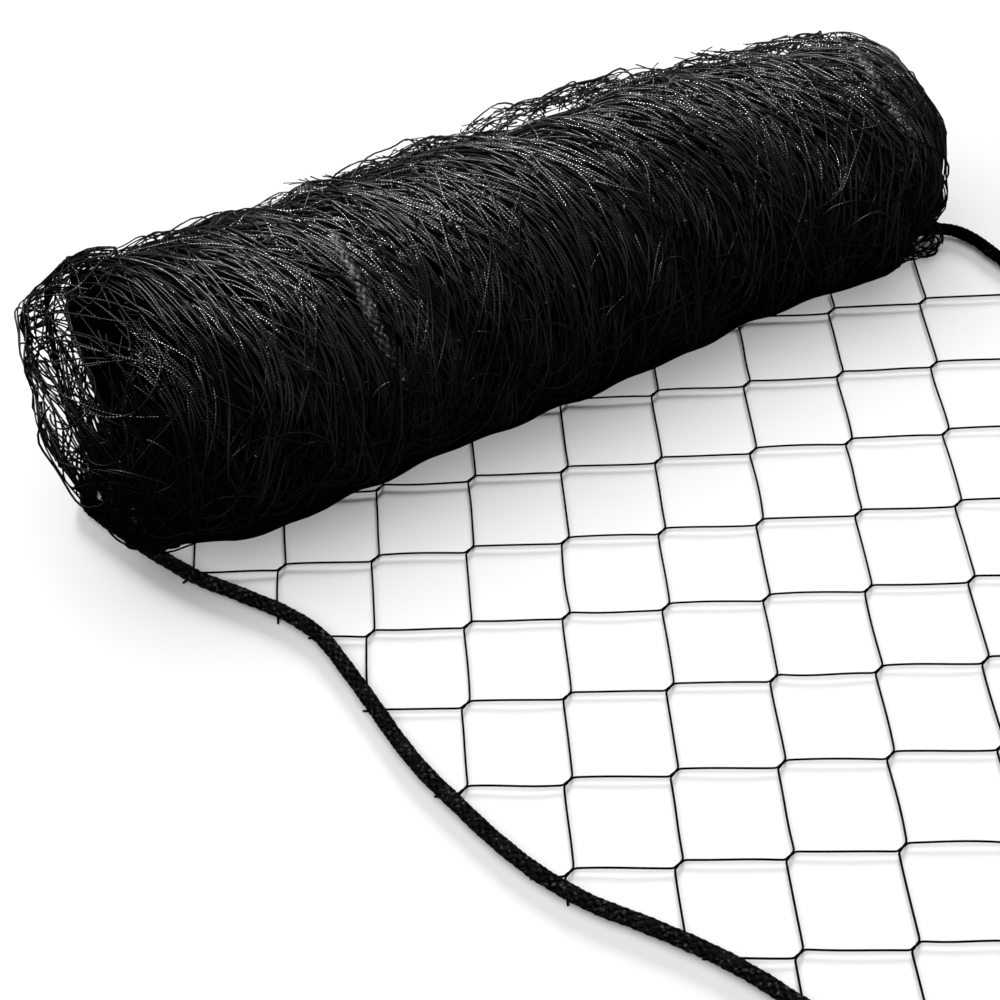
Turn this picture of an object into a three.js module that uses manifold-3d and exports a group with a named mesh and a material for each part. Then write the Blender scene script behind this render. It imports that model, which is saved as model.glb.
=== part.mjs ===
// Roll of knotted safety netting: the wound roll, the flat lead of net that runs out from under it,
// and the border rope that is threaded along the lead's edges.
// Millimetres, +Z up. The roll lies along X on the floor, z = 0, and the origin is the middle of the
// flat spot that it rests on. The lead runs out towards -Y.
import * as THREE from 'three';
import { mergeVertices } from 'three/addons/utils/BufferGeometryUtils.js';
import Module from 'manifold-3d';

// The net: square meshes, each knot a short slanting link between two pairs of strands
const MESH_PITCH = 30;
const ROW_TURN = THREE.MathUtils.degToRad(-20.8);
const FIRST_KNOT = new THREE.Vector2(-67.3, 41.9);
const KNOT_REACH = 1.0;
const KNOT = { length: 4.6, width: 2.6, bottom: 0.15, top: 2.0, sides: 8, rings: 5 };
const STRAND_WIDTH = 1.6;
const NET_THICKNESS = 1.2;
const SELVEDGE_WIDTH = 2.2;
const SMALLEST_GAP_AREA = 16;
const NET_COLUMNS = { first: -3, last: 8 };
const NET_ROWS = { first: -2, last: 10 };

// The wound roll, section by section from its loose left end to its tighter right end
const ROLL_SECTIONS = [
  { x: -148, radius: 44.5, centreY: 9.0 },
  { x: -120, radius: 48.6, centreY: 0.8 },
  { x: -80, radius: 48.3, centreY: -2.3 },
  { x: -40, radius: 47.0, centreY: 0.4 },
  { x: 0, radius: 47.0, centreY: 1.3 },
  { x: 40, radius: 46.1, centreY: 3.2 },
  { x: 80, radius: 43.1, centreY: 5.7 },
  { x: 120, radius: 40.9, centreY: 2.2 },
  { x: 139, radius: 37.0, centreY: -0.5 },
];
const ROLL_SECTORS = 44;
const ROLL_STEP = 6.4;
const RIDGE_STEP = 3.2;
const FLAT_DEPTH = 1.3;

// Bundles of strands that sweep round the roll: each bundle moves SWEEP_PER_TURN along X in a turn
const SWEEP_PER_TURN = 138;
const BUNDLES = [
  { starts: 6, height: 0.9, phase: 0.0 },
  { starts: 4, height: 0.7, phase: 1.9 },
];
const BUNDLE_FADE = { from: THREE.MathUtils.degToRad(26), to: THREE.MathUtils.degToRad(70) };

// Turns of border rope that are wound in and lift the outer layer, each a slanting ring
const ROPE_RIDGES = [
  { x: -45, slant: 6, height: 1.4, halfWidth: 5 },
  { x: 108, slant: 4, height: 1.0, halfWidth: 5 },
];
const RIDGE_REACH = 13;

// The two ends: a wide round rim, then the turns of the winding as a spiral on a slightly bulging face.
// At the left end the rim is a loose collar, one wall of outer turns that stands past the packed middle;
// at the right end the roll is packed out to its rim, so that rim has no wall of its own.
// An end isn't square to the roll: its face runs out along X by so much for each unit of Y and of Z.
const LEFT_END = { x: -148, rim: 22, rimSteps: 6, wall: 3.2, bulge: 4, groove: 2.4, perY: 0.05, perZ: -0.09 };
const RIGHT_END = { x: 138.5, rim: 20, rimSteps: 6, wall: 0, bulge: 5, groove: 2.0, perY: -0.12, perZ: 0.12 };
const LEAN_REACH = 45;
const TURN_PITCH = 11;
const RINGS_PER_TURN = 4;

// The open meshes of the loose collar: staggered rows of diamonds, each row so far round the rim's curve
const COLLAR_MESHES = {
  rows: [22, 45, 68].map(THREE.MathUtils.degToRad),
  around: 20,
  lengthShare: 0.76,
  width: 6.4,
  clearOfFloor: THREE.MathUtils.degToRad(58),
  overcut: 1.5,
};

// The border rope, and its centreline from under the roll's left end, round the lead, to its right end
const ROPE_DIAMETER = 5;
const ROPE_SIDES = 10;
const ROPE_STEPS = 80;
const ROPE_FLOOR_Z = 2.6;
const ROPE_ROUTE = [
  { x: -138.8, y: 28.6, z: 5.4 },
  { x: -147.2, y: 22.0, z: 3.2 },
  { x: -150.2, y: 13.5, z: ROPE_FLOOR_Z },
  { x: -147.4, y: 5.0, z: ROPE_FLOOR_Z },
  { x: -142.0, y: -6.0, z: ROPE_FLOOR_Z },
  { x: -133.8, y: -21.5, z: ROPE_FLOOR_Z },
  { x: -124.3, y: -36.8, z: ROPE_FLOOR_Z },
  { x: -114.0, y: -49.5, z: ROPE_FLOOR_Z },
  { x: -104.0, y: -62.5, z: ROPE_FLOOR_Z },
  { x: -96.8, y: -75.4, z: ROPE_FLOOR_Z },
  { x: -92.7, y: -92.2, z: ROPE_FLOOR_Z },
  { x: -89.3, y: -110.6, z: ROPE_FLOOR_Z },
  { x: -85.0, y: -133.0, z: ROPE_FLOOR_Z },
  { x: -78.2, y: -154.2, z: ROPE_FLOOR_Z },
  { x: -69.0, y: -178.0, z: ROPE_FLOOR_Z },
  { x: -58.2, y: -196.8, z: ROPE_FLOOR_Z },
  { x: -46.4, y: -210.8, z: ROPE_FLOOR_Z },
  { x: -35.0, y: -224.6, z: ROPE_FLOOR_Z },
  { x: -24.9, y: -239.4, z: ROPE_FLOOR_Z },
  { x: -17.5, y: -252.5, z: ROPE_FLOOR_Z },
  { x: -7.0, y: -265.5, z: ROPE_FLOOR_Z },
  { x: 8.0, y: -275.0, z: ROPE_FLOOR_Z },
  { x: 26.0, y: -282.0, z: ROPE_FLOOR_Z },
  { x: 45.0, y: -286.0, z: ROPE_FLOOR_Z },
  { x: 62.5, y: -282.0, z: ROPE_FLOOR_Z },
  { x: 75.0, y: -268.0, z: ROPE_FLOOR_Z },
  { x: 84.5, y: -245.0, z: ROPE_FLOOR_Z },
  { x: 103.5, y: -194.0, z: ROPE_FLOOR_Z },
  { x: 125.5, y: -136.0, z: ROPE_FLOOR_Z },
  { x: 145.3, y: -84.0, z: ROPE_FLOOR_Z },
  { x: 157.5, y: -50.0, z: ROPE_FLOOR_Z },
  { x: 159.8, y: -34.0, z: ROPE_FLOOR_Z },
  { x: 158.2, y: -25.0, z: ROPE_FLOOR_Z },
  { x: 156.2, y: -16.5, z: ROPE_FLOOR_Z },
  { x: 152.0, y: -9.0, z: ROPE_FLOOR_Z },
  { x: 145.0, y: -4.6, z: ROPE_FLOOR_Z },
  { x: 130.4, y: -2.2, z: ROPE_FLOOR_Z },
];

// Clearance between neighbouring pieces, and how far up the lead's sides stop short of the roll
const CLEARANCE = 0.3;
const BELLY_CLEARANCE = 0.38;
const LEAD_SIDE_START_Y = -19;
const LEAD_BACK = { first: -132, last: 128, steps: 20 };

const NET_COLOUR = 0x161616;
const ROPE_COLOUR = 0x1d1d1c;

const FULL_TURN = 2 * Math.PI;
const SECTOR = FULL_TURN / ROLL_SECTORS;

const sectionCurve = new THREE.CubicInterpolant(
  ROLL_SECTIONS.map((section) => section.x),
  ROLL_SECTIONS.flatMap((section) => [section.radius, section.centreY]),
  2,
);

function sectionAt(x) {
  const [radius, centreY] = sectionCurve.evaluate(x);
  return { radius, centreY, centreZ: radius - FLAT_DEPTH };
}

// A point on the roll: turn is counted from the floor, up the front, over the top and down the back
function rollPoint(x, section, radius, turn) {
  const y = section.centreY - radius * Math.sin(turn);
  const z = section.centreZ - radius * Math.cos(turn);
  const shift = leanAt(x, y - section.centreY, z - section.centreZ);
  return new THREE.Vector3(x + shift, y, Math.max(z, 0));
}

// How far a point is carried along X by the leaning ends, which even out along the body
function leanAt(x, fromCentreY, fromCentreZ) {
  const fromLeft = 1 - THREE.MathUtils.smoothstep(x - LEFT_END.x, 0, LEAN_REACH);
  const fromRight = 1 - THREE.MathUtils.smoothstep(RIGHT_END.x - x, 0, LEAN_REACH);
  const perY = fromLeft * LEFT_END.perY + fromRight * RIGHT_END.perY;
  const perZ = fromLeft * LEFT_END.perZ + fromRight * RIGHT_END.perZ;
  return perY * fromCentreY + perZ * fromCentreZ;
}

// How far the bundles and the wound-in rope stand out; both fade out where the roll is pressed flat
function woundHeight(x, turn) {
  const fromFloor = Math.min(turn, FULL_TURN - turn);
  const fade = THREE.MathUtils.smoothstep(fromFloor, BUNDLE_FADE.from, BUNDLE_FADE.to);
  let height = 0;
  for (const bundle of BUNDLES) {
    const along = x / SWEEP_PER_TURN + turn / FULL_TURN;
    height += bundle.height * Math.sin(bundle.starts * FULL_TURN * along + bundle.phase);
  }
  for (const ridge of ROPE_RIDGES) {
    const offset = (x - ridge.x - ridge.slant * Math.cos(turn)) / ridge.halfWidth;
    height += ridge.height * Math.exp(-offset * offset);
  }
  return height * fade;
}

function ringOf(pointAt) {
  return Array.from({ length: ROLL_SECTORS }, (_, k) => pointAt((k + 0.5) * SECTOR));
}

// A point on an end's rim: reach is its distance from the middle of the rim's curve, and bend is 0 at the
// lip and a quarter turn where the rim meets the body; side is -1 left, 1 right
function rimPoint(end, side, reach, bend, turn) {
  const rimStart = end.x - side * end.rim;
  const section = sectionAt(rimStart);
  const radius = section.radius - end.rim + reach * Math.sin(bend);
  return rollPoint(rimStart + side * reach * Math.cos(bend), section, radius, turn);
}

// The rings of one end, from its middle out to where the rim meets the body
function endRings(end, side) {
  const rimStart = end.x - side * end.rim;
  const section = sectionAt(rimStart);
  const isHollow = end.wall > 0;
  const faceX = isHollow ? rimStart : end.x;
  const faceRadius = section.radius - (isHollow ? end.wall : end.rim);
  const faceRings = Math.round((faceRadius / TURN_PITCH) * RINGS_PER_TURN);
  const rings = [];
  for (let k = 1; k <= faceRings; k++) {
    const share = k / faceRings;
    const bulge = end.bulge * (1 - share * share);
    rings.push(ringOf((turn) => {
      const spiral = Math.cos((FULL_TURN * faceRadius * share) / TURN_PITCH - turn);
      const groove = end.groove * (0.5 - 0.5 * spiral) * Math.min(1, 2 * share) * (1 - share ** 8);
      return rollPoint(faceX + side * (bulge - groove), section, faceRadius * share, turn);
    }));
  }
  const addRimRing = (reach, step) => {
    const bend = (step / end.rimSteps) * (Math.PI / 2);
    rings.push(ringOf((turn) => rimPoint(end, side, reach, bend, turn)));
  };
  if (isHollow) {
    for (let step = end.rimSteps - 1; step >= 0; step--) {
      addRimRing(end.rim - end.wall, step);
    }
    addRimRing(end.rim, 0);
  }
  for (let step = 1; step < end.rimSteps; step++) {
    addRimRing(end.rim, step);
  }
  const middle = new THREE.Vector3(faceX + side * end.bulge, section.centreY, section.centreZ);
  return { rings, middle };
}

// Stations along the body, closer together where a turn of rope lifts the outer layer
function bodyStations(firstX, lastX) {
  const stations = [];
  for (let x = firstX; x < lastX - RIDGE_STEP / 2;) {
    stations.push(x);
    const nearRidge = ROPE_RIDGES.some((ridge) => Math.abs(x - ridge.x) < RIDGE_REACH);
    x += nearRidge ? RIDGE_STEP : ROLL_STEP;
  }
  stations.push(lastX);
  return stations;
}

function bodyRing(x, firstX, lastX) {
  const section = sectionAt(x);
  const fromEnd = Math.min(x - firstX, lastX - x);
  const settle = Math.min(1, fromEnd / ROLL_STEP);
  return ringOf((turn) => rollPoint(x, section, section.radius + settle * woundHeight(x, turn), turn));
}

// Closed surface through rings of equal count, with a point at each end
function loft(firstPoint, rings, lastPoint) {
  const points = [firstPoint, ...rings.flat(), lastPoint];
  const count = rings[0].length;
  const at = (ring, k) => 1 + ring * count + (k % count);
  const lastIndex = points.length - 1;
  const faces = [];
  for (let k = 0; k < count; k++) {
    faces.push(0, at(0, k), at(0, k + 1));
    for (let ring = 0; ring + 1 < rings.length; ring++) {
      const [a, b] = [at(ring, k), at(ring, k + 1)];
      const [c, d] = [at(ring + 1, k + 1), at(ring + 1, k)];
      faces.push(a, c, b, a, d, c);
    }
    faces.push(lastIndex, at(rings.length - 1, k + 1), at(rings.length - 1, k));
  }
  const geometry = new THREE.BufferGeometry();
  geometry.setAttribute('position', new THREE.Float32BufferAttribute(points.flatMap((p) => p.toArray()), 3));
  geometry.setIndex(faces);
  geometry.computeVertexNormals();
  return geometry;
}

function rollSurface() {
  const left = endRings(LEFT_END, -1);
  const right = endRings(RIGHT_END, 1);
  const firstX = LEFT_END.x + LEFT_END.rim;
  const lastX = RIGHT_END.x - RIGHT_END.rim;
  const body = bodyStations(firstX, lastX).map((x) => bodyRing(x, firstX, lastX));
  return loft(left.middle, [...left.rings, ...body, ...right.rings.reverse()], right.middle);
}

const wasm = await Module();
wasm.setup();

function solidOf(geometry) {
  geometry.deleteAttribute('normal');
  geometry.deleteAttribute('uv');
  const merged = mergeVertices(geometry);
  return new wasm.Manifold(new wasm.Mesh({
    numProp: 3,
    vertProperties: Float32Array.from(merged.attributes.position.array),
    triVerts: Uint32Array.from(merged.index.array),
  }));
}

function geometryOf(solid) {
  const mesh = solid.getMesh();
  const geometry = new THREE.BufferGeometry();
  geometry.setAttribute('position', new THREE.BufferAttribute(mesh.vertProperties, 3));
  geometry.setIndex(new THREE.BufferAttribute(mesh.triVerts, 1));
  geometry.computeVertexNormals();
  return geometry;
}

// The open meshes of the loose collar, each a slug right through its wall
function collarMeshes() {
  const pitch = FULL_TURN / COLLAR_MESHES.around;
  const halfWidth = COLLAR_MESHES.width / LEFT_END.rim / 2;
  const halfLength = (COLLAR_MESHES.lengthShare * pitch) / 2;
  const inside = LEFT_END.rim - LEFT_END.wall - COLLAR_MESHES.overcut;
  const outside = LEFT_END.rim + COLLAR_MESHES.overcut;
  const slugs = [];
  for (const [row, bend] of COLLAR_MESHES.rows.entries()) {
    for (let k = 0; k < COLLAR_MESHES.around; k++) {
      const turn = (k + 0.5 * (row % 2)) * pitch;
      const fromFloor = Math.min(turn, FULL_TURN - turn);
      if (fromFloor > COLLAR_MESHES.clearOfFloor) {
        const corners = [inside, outside].flatMap((reach) => [
          rimPoint(LEFT_END, -1, reach, bend - halfWidth, turn),
          rimPoint(LEFT_END, -1, reach, bend + halfWidth, turn),
          rimPoint(LEFT_END, -1, reach, bend, turn - halfLength),
          rimPoint(LEFT_END, -1, reach, bend, turn + halfLength),
        ]);
        slugs.push(wasm.Manifold.hull(corners.map((corner) => corner.toArray())));
      }
    }
  }
  return slugs;
}

function rollGeometry() {
  const roll = solidOf(rollSurface());
  return geometryOf(wasm.Manifold.difference([roll, ...collarMeshes()]));
}

// Where the front of the roll, low down, is at the given height above the floor
function bellyFrontY(x, height) {
  const section = sectionAt(x);
  let lower = rollPoint(x, section, section.radius, SECTOR / 2);
  for (let k = 1; k < ROLL_SECTORS / 4; k++) {
    const upper = rollPoint(x, section, section.radius, (k + 0.5) * SECTOR);
    if (upper.z >= height) {
      return THREE.MathUtils.mapLinear(height, lower.z, upper.z, lower.y, upper.y);
    }
    lower = upper;
  }
  throw new Error('the belly of the roll is lower than the height asked for');
}

const ropeCurve = new THREE.CatmullRomCurve3(
  ROPE_ROUTE.map((point) => new THREE.Vector3(point.x, point.y, point.z)),
);

function circleShape(diameter, sides) {
  const corners = Array.from({ length: sides }, (_, k) => {
    const angle = (k / sides) * FULL_TURN;
    return new THREE.Vector2(Math.cos(angle), Math.sin(angle)).multiplyScalar(diameter / 2);
  });
  return new THREE.Shape(corners);
}

function ropeGeometry() {
  const section = circleShape(ROPE_DIAMETER, ROPE_SIDES);
  return new THREE.ExtrudeGeometry(section, { steps: ROPE_STEPS, extrudePath: ropeCurve });
}

// The lead's outline, a distance in from its selvedge: beside the rope, then back along the roll
function leadOutline(inset) {
  const ropeZ = ROPE_FLOOR_Z - NET_THICKNESS;
  const ropeReach = ROPE_DIAMETER / 2 + CLEARANCE;
  const besideRope = Math.sqrt(ropeReach * ropeReach - ropeZ * ropeZ) + inset;
  const outline = [];
  for (let k = 0; k <= ROPE_STEPS; k++) {
    const point = ropeCurve.getPointAt(k / ROPE_STEPS);
    const tangent = ropeCurve.getTangentAt(k / ROPE_STEPS);
    const inwards = new THREE.Vector2(-tangent.y, tangent.x).normalize();
    if (point.y < LEAD_SIDE_START_Y) {
      outline.push(inwards.multiplyScalar(besideRope).add(new THREE.Vector2(point.x, point.y)));
    }
  }
  for (let k = LEAD_BACK.steps; k >= 0; k--) {
    const x = THREE.MathUtils.lerp(LEAD_BACK.first + inset, LEAD_BACK.last - inset, k / LEAD_BACK.steps);
    outline.push(new THREE.Vector2(x, bellyFrontY(x, NET_THICKNESS + BELLY_CLEARANCE) - inset));
  }
  return outline;
}

function knotAt(column, row, alongRow, alongColumn) {
  const place = new THREE.Vector2(column * MESH_PITCH + alongRow, -(row * MESH_PITCH + alongColumn));
  return place.rotateAround(new THREE.Vector2(), ROW_TURN).add(FIRST_KNOT);
}

// One gap of the net: six sided, because the knots at two opposite corners cut them off
function gapOutline(column, row) {
  const corners = [
    knotAt(column, row, -KNOT_REACH, KNOT_REACH),
    knotAt(column, row + 1, KNOT_REACH, -KNOT_REACH),
    knotAt(column + 1, row + 1, -KNOT_REACH, KNOT_REACH),
    knotAt(column + 1, row + 1, KNOT_REACH, -KNOT_REACH),
    knotAt(column + 1, row, -KNOT_REACH, KNOT_REACH),
    knotAt(column, row, KNOT_REACH, -KNOT_REACH),
  ];
  return insetConvex(corners, STRAND_WIDTH / 2);
}

// Moves each side of a convex outline, listed anticlockwise, in by the given distance
function insetConvex(corners, distance) {
  const count = corners.length;
  const sides = corners.map((corner, k) => {
    const along = corners[(k + 1) % count].clone().sub(corner).normalize();
    const inwards = new THREE.Vector2(-along.y, along.x);
    return { start: inwards.multiplyScalar(distance).add(corner), along };
  });
  return sides.map((side, k) => {
    const before = sides[(k + count - 1) % count];
    const between = before.start.clone().sub(side.start);
    const reach = between.cross(before.along) / side.along.cross(before.along);
    return side.along.clone().multiplyScalar(reach).add(side.start);
  });
}

function slab(outline, bottom, top) {
  const settings = { depth: top - bottom, bevelEnabled: false };
  return new THREE.ExtrudeGeometry(new THREE.Shape(outline), settings).translate(0, 0, bottom);
}

// A knot: a small thick bead that lies along the slant between its two pairs of strands
function knotGeometry(column, row) {
  const start = knotAt(column, row, -KNOT_REACH, KNOT_REACH);
  const end = knotAt(column, row, KNOT_REACH, -KNOT_REACH);
  const middle = start.clone().add(end).divideScalar(2);
  const bead = new THREE.SphereGeometry(0.5, KNOT.sides, KNOT.rings).rotateX(Math.PI / 2);
  bead.scale(KNOT.length, KNOT.width, KNOT.top - KNOT.bottom).rotateZ(end.sub(start).angle());
  return bead.translate(middle.x, middle.y, (KNOT.top + KNOT.bottom) / 2);
}

// The flat lead, with its gaps cut through and its knots raised; slivers of gap along the selvedge
// stay closed
function leadGeometry() {
  const through = { bottom: -NET_THICKNESS, top: 2 * NET_THICKNESS };
  const insideSelvedge = solidOf(slab(leadOutline(SELVEDGE_WIDTH), through.bottom, through.top));
  const knotField = solidOf(slab(leadOutline(SELVEDGE_WIDTH + KNOT.width), through.bottom, through.top));
  const smallestGap = SMALLEST_GAP_AREA * (through.top - through.bottom);
  let lead = solidOf(slab(leadOutline(0), 0, NET_THICKNESS));
  for (let column = NET_COLUMNS.first; column <= NET_COLUMNS.last; column++) {
    for (let row = NET_ROWS.first; row <= NET_ROWS.last; row++) {
      const mesh = solidOf(slab(gapOutline(column, row), through.bottom, through.top));
      const gap = mesh.intersect(insideSelvedge);
      if (gap.volume() > smallestGap) {
        lead = lead.subtract(gap);
      }
    }
  }
  for (let column = NET_COLUMNS.first; column <= NET_COLUMNS.last; column++) {
    for (let row = NET_ROWS.first; row <= NET_ROWS.last; row++) {
      const knot = solidOf(knotGeometry(column, row));
      if (knot.subtract(knotField).isEmpty()) {
        lead = lead.add(knot);
      }
    }
  }
  return geometryOf(lead);
}

function piece(name, geometry, colour, roughness) {
  const material = new THREE.MeshStandardMaterial({ color: colour, roughness, metalness: 0 });
  const mesh = new THREE.Mesh(geometry, material);
  mesh.name = name;
  return mesh;
}

const netRoll = new THREE.Group();
netRoll.add(
  piece('net_roll', rollGeometry(), NET_COLOUR, 0.55),
  piece('net_lead', leadGeometry(), NET_COLOUR, 0.55),
  piece('border_rope', ropeGeometry(), ROPE_COLOUR, 0.9),
);

export default netRoll;
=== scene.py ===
import math
from functools import partial

import bpy
import numpy as np
from mathutils import Matrix, Vector


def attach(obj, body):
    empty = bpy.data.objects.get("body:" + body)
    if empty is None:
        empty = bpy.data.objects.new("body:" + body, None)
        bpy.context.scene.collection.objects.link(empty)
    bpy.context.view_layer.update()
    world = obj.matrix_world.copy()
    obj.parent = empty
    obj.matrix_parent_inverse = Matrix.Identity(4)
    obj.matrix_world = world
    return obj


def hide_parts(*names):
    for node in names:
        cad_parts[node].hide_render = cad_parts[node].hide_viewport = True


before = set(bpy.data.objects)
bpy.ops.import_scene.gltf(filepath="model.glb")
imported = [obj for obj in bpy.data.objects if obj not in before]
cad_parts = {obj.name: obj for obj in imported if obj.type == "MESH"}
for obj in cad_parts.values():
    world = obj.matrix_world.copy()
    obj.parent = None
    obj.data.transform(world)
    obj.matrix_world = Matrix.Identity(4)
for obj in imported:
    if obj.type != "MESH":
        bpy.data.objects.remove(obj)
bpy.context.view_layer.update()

mm = 0.001
fullTurn = 2 * math.pi

# settings that several nodes share
multiply = {"operation": "MULTIPLY"}
multiplyAdd = {"operation": "MULTIPLY_ADD"}
colourMix = {"data_type": "RGBA"}
smoothStep = {"interpolation_type": "SMOOTHSTEP"}
perPoint = {"data_type": "FLOAT", "domain": "POINT"}


def linearColour(hexText):  # sRGB hex to the linear colour that sockets take
    parts = [int(hexText[i:i + 2], 16) / 255 for i in (1, 3, 5)]
    return tuple(c / 12.92 if c <= 0.04045 else ((c + 0.055) / 1.055) ** 2.4 for c in parts) + (1.0,)


def addNode(tree, kind, inputs=None, settings=None):  # links a socket, sets a value, and gives the outputs
    node = tree.nodes.new(kind)
    for key, value in (settings or {}).items():
        setattr(node, key, value)
    for key, value in (inputs or {}).items():
        if isinstance(value, bpy.types.NodeSocket):
            tree.links.new(value, node.inputs[key])
        else:
            node.inputs[key].default_value = value
    return node.outputs


def newMaterial(name):
    material = bpy.data.materials.new(name)
    material.use_nodes = True
    material.node_tree.nodes.clear()
    return material, partial(addNode, material.node_tree)


# camera: found from the knots of the flat net, as place and angles in the part's frame
cameraFacts = {
    "place": (-112.5, -510.8, 505.0),  # mm
    "azimuth": -10.42,
    "elevation": 47.06,
    "roll": -13.19,
    "lens": 78.4,
    "sensor": 36.0,
    "nearest": 0.01,  # m
}


def makeCamera(facts):
    az, el, roll = (math.radians(facts[key]) for key in ("azimuth", "elevation", "roll"))
    back = Vector((math.sin(az) * math.cos(el), -math.cos(az) * math.cos(el), math.sin(el)))
    right = Vector((math.cos(az), math.sin(az), 0))
    up = back.cross(right)
    tiltedRight = math.cos(roll) * right + math.sin(roll) * up
    tiltedUp = math.cos(roll) * up - math.sin(roll) * right
    data = bpy.data.cameras.new("camera")
    data.lens = facts["lens"]
    data.sensor_width = facts["sensor"]
    data.clip_start = facts["nearest"]
    camera = bpy.data.objects.new("camera", data)
    camera.matrix_world = Matrix((tiltedRight, tiltedUp, back)).transposed().to_4x4()
    camera.location = Vector(facts["place"]) * mm
    bpy.context.collection.objects.link(camera)
    bpy.context.scene.camera = camera


makeCamera(cameraFacts)
print("camera set")


# materials

def makeTwineMaterial():  # twisted polyethylene twine: black, waxy, each turn of its twist a bright bead
    facts = {
        "dark": "#030303", "light": "#151514", "roughness": 0.13, "dullest": 0.42,
        "twistPitch": 1.0, "plies": 2, "twistDepth": 0.12,  # mm along the twine for one bead, and its depth
        "fibreGrain": 0.35, "grainHeight": 0.35,  # mm, and a share of the twist
        "crown": (0.25, 0.95), "grooveGloss": 0.06, "dullGloss": 0.06,
    }
    material, add = newMaterial("blackPolyethyleneTwine")
    place = add("ShaderNodeUVMap", settings={"uv_map": "twist"})
    split = add("ShaderNodeSeparateXYZ", {0: place[0]})
    around = add("ShaderNodeMath", {0: split[0], 1: float(facts["plies"])}, multiply)
    phase = add("ShaderNodeMath", {0: split[1], 1: 1 / facts["twistPitch"], 2: around[0]}, multiplyAdd)
    angle = add("ShaderNodeMath", {0: phase[0], 1: math.pi}, multiply)
    wave = add("ShaderNodeMath", {0: angle[0]}, {"operation": "SINE"})
    ply = add("ShaderNodeMath", {0: wave[0]}, {"operation": "ABSOLUTE"})
    objectPlace = add("ShaderNodeTexCoord")
    grain = add("ShaderNodeTexNoise", {
        "Vector": objectPlace["Object"], "Scale": 1 / (facts["fibreGrain"] * 4 * mm), "Detail": 2.0})
    height = add("ShaderNodeMath", {0: grain["Fac"], 1: facts["grainHeight"], 2: ply[0]}, multiplyAdd)
    bump = add("ShaderNodeBump", {
        "Height": height[0], "Strength": 1.0, "Distance": facts["twistDepth"] * mm})
    # the strand's shade value sets its colour, roughness and gloss; it varies at random, and is lower as
    # painted shade on deep strands and in the left hollow
    shade = add("ShaderNodeAttribute", settings={"attribute_name": "shade"})
    colour = add("ShaderNodeMix", {
        "Factor": shade["Fac"], 6: linearColour(facts["dark"]), 7: linearColour(facts["light"])}, colourMix)
    rough = add("ShaderNodeMapRange", {
        "Value": shade["Fac"], "To Min": facts["dullest"], "To Max": facts["roughness"]})
    crown = add("ShaderNodeMapRange", {
        "Value": ply[0], "From Min": facts["crown"][0], "From Max": facts["crown"][1],
        "To Min": facts["grooveGloss"]}, smoothStep)  # the grooves between plies are shaded and show no gloss
    glossByShade = add("ShaderNodeMapRange", {"Value": shade["Fac"], "To Min": facts["dullGloss"]})
    gloss = add("ShaderNodeMath", {0: crown[0], 1: glossByShade[0]}, multiply)
    shader = add("ShaderNodeBsdfPrincipled", {
        "Base Color": colour[2], "Roughness": rough[0], "Normal": bump[0], "IOR": 1.5,
        "Specular IOR Level": gloss[0]})
    add("ShaderNodeOutputMaterial", {"Surface": shader[0]})
    return material


def makeRopeMaterial():  # braided polypropylene: matt black, painted shade darkens the grooves between yarns, and grey flecks stand for loose filaments, painted as highlights where they would catch the light
    facts = {
        "groove": "#020202", "yarn": "#121211", "filamentHighlight": "#5a5957", "roughness": 0.6, "gloss": 0.25,
        "crown": (0.3, 0.95), "fleckRange": (0.56, 0.68),
        "fleckSize": 0.55, "filament": 0.3, "filamentDepth": 0.35,  # mm
    }
    material, add = newMaterial("blackBraidedPolypropylene")
    place = add("ShaderNodeTexCoord")
    crown = add("ShaderNodeAttribute", settings={"attribute_name": "crown"})
    # painted shade: where the crown is low, between the yarns, the colour goes to the darker groove colour
    raised = add("ShaderNodeMapRange", {
        "Value": crown["Fac"], "From Min": facts["crown"][0], "From Max": facts["crown"][1]}, smoothStep)
    yarn = add("ShaderNodeMix", {
        "Factor": raised[0], 6: linearColour(facts["groove"]), 7: linearColour(facts["yarn"])}, colourMix)
    # painted highlights: grey flecks, laid by noise, for loose filaments catching the light
    filamentHighlight = add("ShaderNodeTexNoise", {
        "Vector": place["Object"], "Scale": 1 / (facts["fleckSize"] * 2 * mm), "Detail": 4.0,
        "Roughness": 0.7})
    filamentHighlightShare = add("ShaderNodeMapRange", {
        "Value": filamentHighlight["Fac"], "From Min": facts["fleckRange"][0], "From Max": facts["fleckRange"][1]})
    # painted highlights on the raised yarn crowns only
    onCrown = add("ShaderNodeMath", {0: filamentHighlightShare[0], 1: raised[0]}, multiply)
    colour = add("ShaderNodeMix", {
        "Factor": onCrown[0], 6: yarn[2], 7: linearColour(facts["filamentHighlight"])}, colourMix)
    filament = add("ShaderNodeTexNoise", {
        "Vector": place["Object"], "Scale": 1 / (facts["filament"] * 3 * mm), "Detail": 3.0})
    bump = add("ShaderNodeBump", {
        "Height": filament["Fac"], "Strength": 1.0, "Distance": facts["filamentDepth"] * mm})
    gloss = add("ShaderNodeMath", {0: raised[0], 1: facts["gloss"]}, multiply)
    shader = add("ShaderNodeBsdfPrincipled", {
        "Base Color": colour[2], "Roughness": facts["roughness"], "Normal": bump[0], "IOR": 1.49,
        "Specular IOR Level": gloss[0]})
    add("ShaderNodeOutputMaterial", {"Surface": shader[0]})
    return material


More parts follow.
